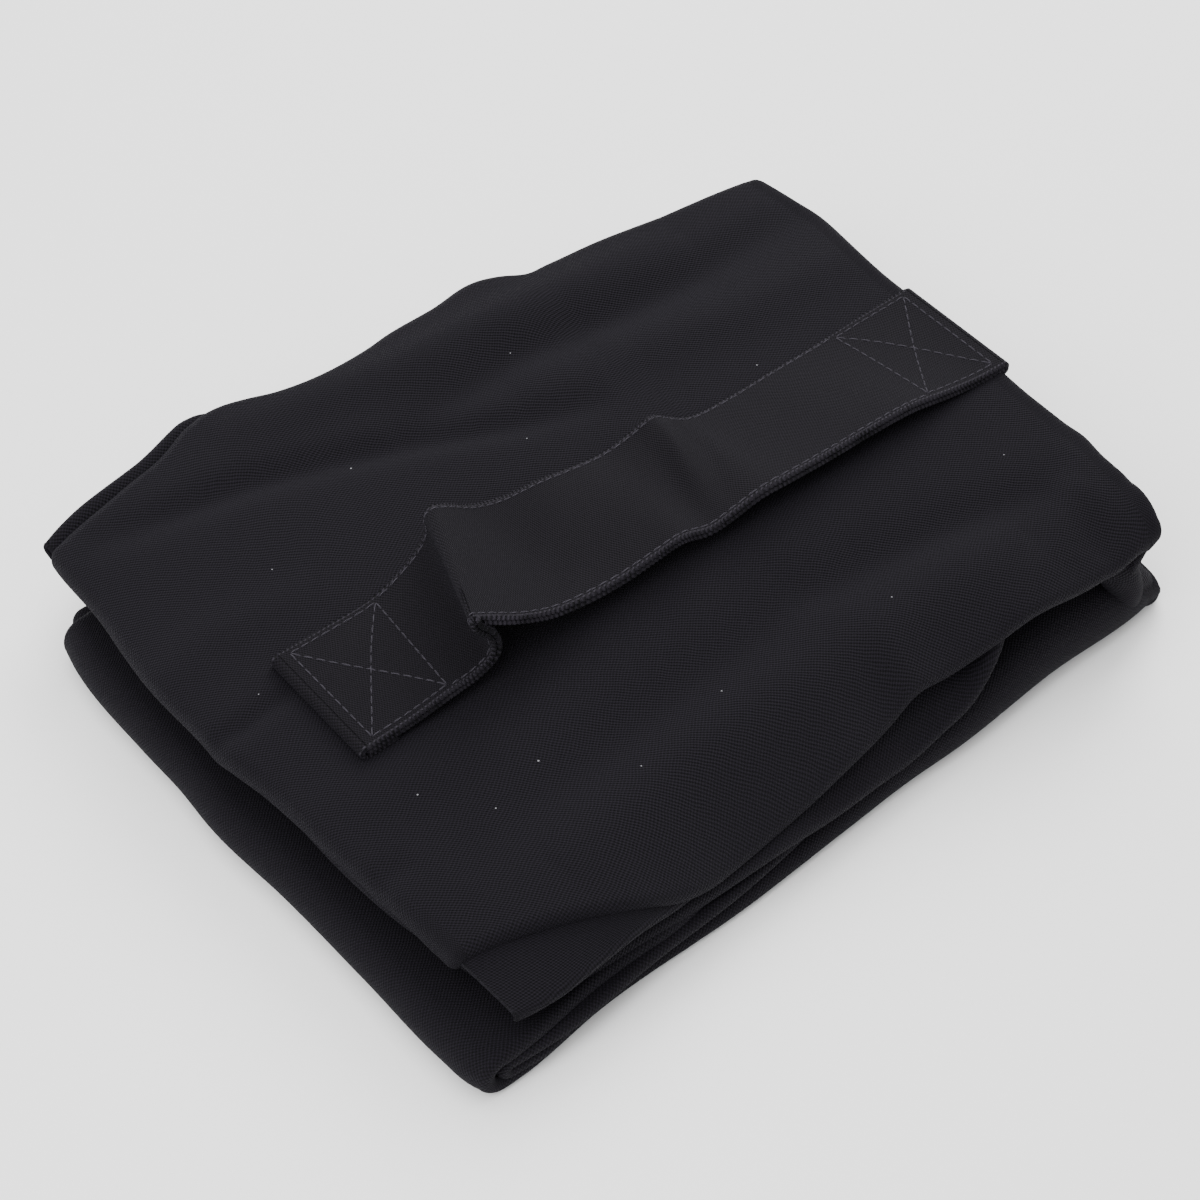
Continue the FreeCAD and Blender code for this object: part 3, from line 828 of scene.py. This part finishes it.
def paint_edge_highlight(strap):
    """Paints the two long edges of a strap paler, as a painted highlight."""
    strap.data.materials.append(painted_edge_highlight)
    for face in strap.data.polygons:
        if not -0.0204 < face.center.y < 0.0164:
            face.material_index = 1


def strap_layer(name, drop, nodes_left, nodes_right):
    """One layer of webbing, in two halves that meet at the middle of the handle."""
    for half, start, end, nodes, sewn in (
        ("left", END, MIDDLE, nodes_left, SEWN_LEFT),
        ("right", MIDDLE, STRAP_LENGTH - END, nodes_right, SEWN_RIGHT),
    ):
        joined = ("end",) if half == "left" else ("start",)
        made = cloth(f"{name}_{half}_cloth", spaced(start, end, 0.3), strap_b, ribbed,
                     thickness=WEBBING, material=webbing, offset=-drop, joined=joined)
        paint_edge_highlight(made)
        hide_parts(*nodes)
        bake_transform(made)


strap_layer("strap_upper", WEBBING / 2,
            ("webbing_upper_left", "handle_webbing_upper"), ("webbing_upper_right",))
strap_layer("strap_lower", WEBBING * 1.5 + 0.12,
            ("webbing_lower_left", "handle_webbing_lower"), ("webbing_lower_right",))

WRAP = WEBBING + 0.06
TAIL = 8.0
for side_name, at, way, node in (
    ("left", END, -1, "turned_end_left"),
    ("right", STRAP_LENGTH - END, 1, "turned_end_right"),
):

    def end_place(a, b, at=at, way=way):
        """The top layer turned round the lower one at the strap's end, and its tail below them."""
        back = np.clip(a - math.pi * WRAP, 0, None)
        x, y, z = strap_place(at - way * back, b)
        turn = np.clip(a / WRAP, 0, math.pi)
        return x + way * WRAP * np.sin(turn), y, z - WEBBING / 2 - WRAP * (1 - np.cos(turn))

    places = spaced(0, math.pi * WRAP + TAIL, 0.3)
    made = cloth(f"turned_end_{side_name}_cloth", places if way > 0 else places[::-1], strap_b,
                 end_place, thickness=WEBBING, material=webbing)
    paint_edge_highlight(made)
    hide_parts(node)
    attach(made, "upper_half")

# A canvas patch inside the wall takes the pull of each sewn end.
for side_name, x0, x1, node in (("left", -93, -59, "patch_left"), ("right", 79, 111, "patch_right")):
    made = cloth(f"backing_patch_{side_name}_cloth", spaced(x0, x1, 1.5), spaced(-25, 21, 1.5),
                 lambda a, b: (a, b, top_height(a, b) - CANVAS * 1.5 - 0.1))
    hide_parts(node)
    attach(made, "upper_half")


# ---------------------------------------------------------------- the stitching
# Thick twisted polyester thread, greyer than the cloth. Each stitch is a short arch that dives
# into the webbing at both ends. Rows run along both long edges, and a box with a cross holds
# each end down.

# Grey twisted thread, a little paler than the cloth: small slanting strands, with painted shade between
# them.
thread = woven("polyester_thread_grey", "161519", "46434B", (0.42, 0.30), 0.10, 0.7, 0.0)


SIDES = 8
RINGS = 7
SWELL = np.array([0.55, 0.9, 1, 1, 1, 0.9, 0.55])


def stitches(name, paths, place, radius=0.23, pitch=3.1, gap=0.5, lift=0.16):
    """Rows of stitches as one mesh. Each path is a straight line between two places on a cloth."""
    points, faces, flat = [], [], []
    for (a0, b0), (a1, b1) in paths:
        length = math.hypot(a1 - a0, b1 - b0)
        count = max(1, int(round(length / pitch)))
        for k in range(count):
            start = (k + gap / pitch / 2) / count
            end = (k + 1 - gap / pitch / 2) / count
            s = start + (end - start) * np.linspace(0, 1, RINGS)
            a = a0 + (a1 - a0) * s
            b = b0 + (b1 - b0) * s
            here = np.stack(place(a, b), axis=1)
            da = np.stack(place(a + 0.3, b), axis=1) - here
            db = np.stack(place(a, b + 0.3), axis=1) - here
            normal = np.cross(da, db)
            normal /= np.linalg.norm(normal, axis=1, keepdims=True)
            rise = lift * np.sin(np.linspace(0, math.pi, RINGS)) ** 0.6 - 0.12
            centre = here + normal * rise[:, None]
            tangent = np.gradient(centre, axis=0)
            tangent /= np.linalg.norm(tangent, axis=1, keepdims=True)
            sideways = np.cross(tangent, normal)
            size = radius * SWELL
            base = len(points)
            for c, n, w, r, at in zip(centre, normal, sideways, size, s * length):
                for q in range(SIDES):
                    t = q * 2 * math.pi / SIDES
                    points.append(c + r * (math.cos(t) * w + math.sin(t) * n))
                    flat.append(((at + radius * t) / 1000, (at - radius * t) / 1000))
            for i in range(RINGS - 1):
                for q in range(SIDES):
                    p = base + i * SIDES
                    after = (q + 1) % SIDES
                    faces.append((p + q, p + after, p + SIDES + after, p + SIDES + q))
            faces.append(tuple(base + q for q in reversed(range(SIDES))))
            faces.append(tuple(base + (RINGS - 1) * SIDES + q for q in range(SIDES)))
    mesh = bpy.data.meshes.new(name)
    mesh.from_pydata((np.array(points) / 1000).tolist(), [], faces)
    mesh.polygons.foreach_set("use_smooth", np.ones(len(mesh.polygons), bool))
    corners = np.zeros(len(mesh.loops), np.int32)
    mesh.loops.foreach_get("vertex_index", corners)
    mesh.uv_layers.new(name="cloth").data.foreach_set("uv", np.array(flat)[corners].ravel())
    mesh.materials.append(thread)
    made = bpy.data.objects.new(name, mesh)
    bpy.context.collection.objects.link(made)
    return made


def box_and_cross(a0, a1, b0, b1):
    """The six lines of a sewn box with its cross."""
    return [((a0, b0), (a1, b0)), ((a1, b0), (a1, b1)), ((a1, b1), (a0, b1)), ((a0, b1), (a0, b0)),
            ((a0, b0), (a1, b1)), ((a0, b1), (a1, b0))]


BOX_START = 3.5
BOX_END = 27.0
for side_name, a0, a1, node in (
    ("left", BOX_START, BOX_END, "box_stitch_left"),
    ("right", STRAP_LENGTH - BOX_END, STRAP_LENGTH - BOX_START, "box_stitch_right"),
):
    made = stitches(f"box_stitches_{side_name}", box_and_cross(a0, a1, -19.2, 15.2), strap_place)
    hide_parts(node)
    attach(made, "upper_half")

for half, start, end, sewn in (
    ("left", BOX_END + 1, MIDDLE, SEWN_LEFT),
    ("right", MIDDLE, STRAP_LENGTH - (BOX_END + 1), SEWN_RIGHT),
):
    rows = [((start, -19.9), (end, -19.9)), ((start, 15.9), (end, 15.9))]
    made = stitches(f"edge_stitches_{half}", rows, strap_place)
    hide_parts("handle_edge_stitching")
    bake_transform(made)



def on_flap(a, b):
    """A place on the laid-back flap at the mouth, on the upper face of its cloth."""
    x, y, z = lower_outer(a, b / LOWER_WIDTH)[:3]
    return x, y, z + 0.62


hem_row = RUN + turn_length + FLAP - 4
made = stitches("mouth_stitches", [((hem_row, 6), (hem_row, 172))], on_flap)
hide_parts("mouth_stitching")
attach(made, "lower_half")


# ---------------------------------------------------------------- lint
# A few pale specks of cotton fluff, shed by other cloths, that have settled on the black
# canvas. They aren't fixed to it, and move with the upper half.

# Undyed cotton: small bright points.
fluff = bpy.data.materials.new("cotton_lint_white")
fluff.use_nodes = True
fluff_shader = fluff.node_tree.nodes["Principled BSDF"]
fluff_shader.inputs["Base Color"].default_value = linear("8C8C90")
fluff_shader.inputs["Roughness"].default_value = 0.95

# The place of each speck on the top wall, and its size.
SPECKS = [(-86, -38, 0.30), (-74, -52, 0.26), (-58, -47, 0.34), (-36, 62, 0.32), (-72, 44, 0.24),
          (-12, -58, 0.26), (4, 40, 0.22), (-41, -64, 0.24), (38, -62, 0.24), (66, 22, 0.26),
          (-97, 12, 0.22), (21, 70, 0.24), (92, -44, 0.22)]
SPECK = [(1.3, 0, 0), (0, 0.8, 0), (-1.0, 0.2, 0), (0, -0.9, 0), (0.1, 0, 0.7), (0, 0, -0.7)]
points, faces = [], []
for x, y, size in SPECKS:
    z = float(top_height(np.array([float(x)]), np.array([float(y)]))[0]) + 0.1
    base = len(points)
    for p, q, r in SPECK:
        points.append(((x + 0.8 * size * p) / 1000, (y + size * q) / 1000, (z + size * r) / 1000))
    for i in range(4):
        faces.append((base + i, base + (i + 1) % 4, base + 4))
        faces.append((base + (i + 1) % 4, base + i, base + 5))
lint_mesh = bpy.data.meshes.new("lint")
lint_mesh.from_pydata(points, [], faces)
lint_mesh.materials.append(fluff)
lint = bpy.data.objects.new("lint", lint_mesh)
bpy.context.collection.objects.link(lint)
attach(lint, "upper_half")


# ---------------------------------------------------------------- the table and the light
# A plain pale sheet of paper, lit by three large soft boxes: the key from the rear right, a
# weaker one opposite and one overhead, with white all round.

# Matt white paper: only carries the shadow.
paper = bpy.data.materials.new("paper_white")
paper.use_nodes = True
paper_shader = paper.node_tree.nodes["Principled BSDF"]
paper_shader.inputs["Base Color"].default_value = linear("F4F4F4")
paper_shader.inputs["Roughness"].default_value = 0.9
floor_mesh = bpy.data.meshes.new("floor")
REACH = 3
floor_corners = [(-REACH, -REACH, 0), (REACH, -REACH, 0), (REACH, REACH, 0), (-REACH, REACH, 0)]
floor_mesh.from_pydata(floor_corners, [], [(0, 1, 2, 3)])
floor_mesh.materials.append(paper)
floor = bpy.data.objects.new("floor", floor_mesh)
bpy.context.collection.objects.link(floor)

world = bpy.data.worlds.new("studio")
world.use_nodes = True
world.node_tree.nodes["Background"].inputs[0].default_value = (1.0, 1.0, 1.0, 1.0)
world.node_tree.nodes["Background"].inputs[1].default_value = 1.0
bpy.context.scene.world = world


PACK_MIDDLE = (0, 0, 0.02)


def softbox(name, at, size, watts):
    """A square area light that looks at the middle of the pack."""
    data = bpy.data.lights.new(name, "AREA")
    data.size = size
    data.energy = watts
    made = bpy.data.objects.new(name, data)
    made.location = at
    made.rotation_euler = (Vector(PACK_MIDDLE) - Vector(at)).to_track_quat("-Z", "Y").to_euler()
    bpy.context.collection.objects.link(made)


softbox("key", (0.75, 0.55, 0.85), 0.7, 15.0)
softbox("fill", (-0.75, -0.25, 0.85), 0.8, 12.0)
softbox("overhead", (0.0, 0.1, 1.3), 1.0, 11.0)


# ---------------------------------------------------------------- the camera
# A long lens about 0.7 m away at the front left, looking down on the pack, so the far edges
# stay almost as long as the near ones.

camera_data = bpy.data.cameras.new("camera")
camera_data.sensor_width = 36
camera_data.lens = 85.5
camera = bpy.data.objects.new("camera", camera_data)
camera.location = (-0.3163, -0.4021, 0.5297)
looked_at = Vector((-0.0095, -0.008, 0.025))
camera.rotation_euler = (looked_at - camera.location).to_track_quat("-Z", "Y").to_euler()
bpy.context.collection.objects.link(camera)
bpy.context.scene.camera = camera
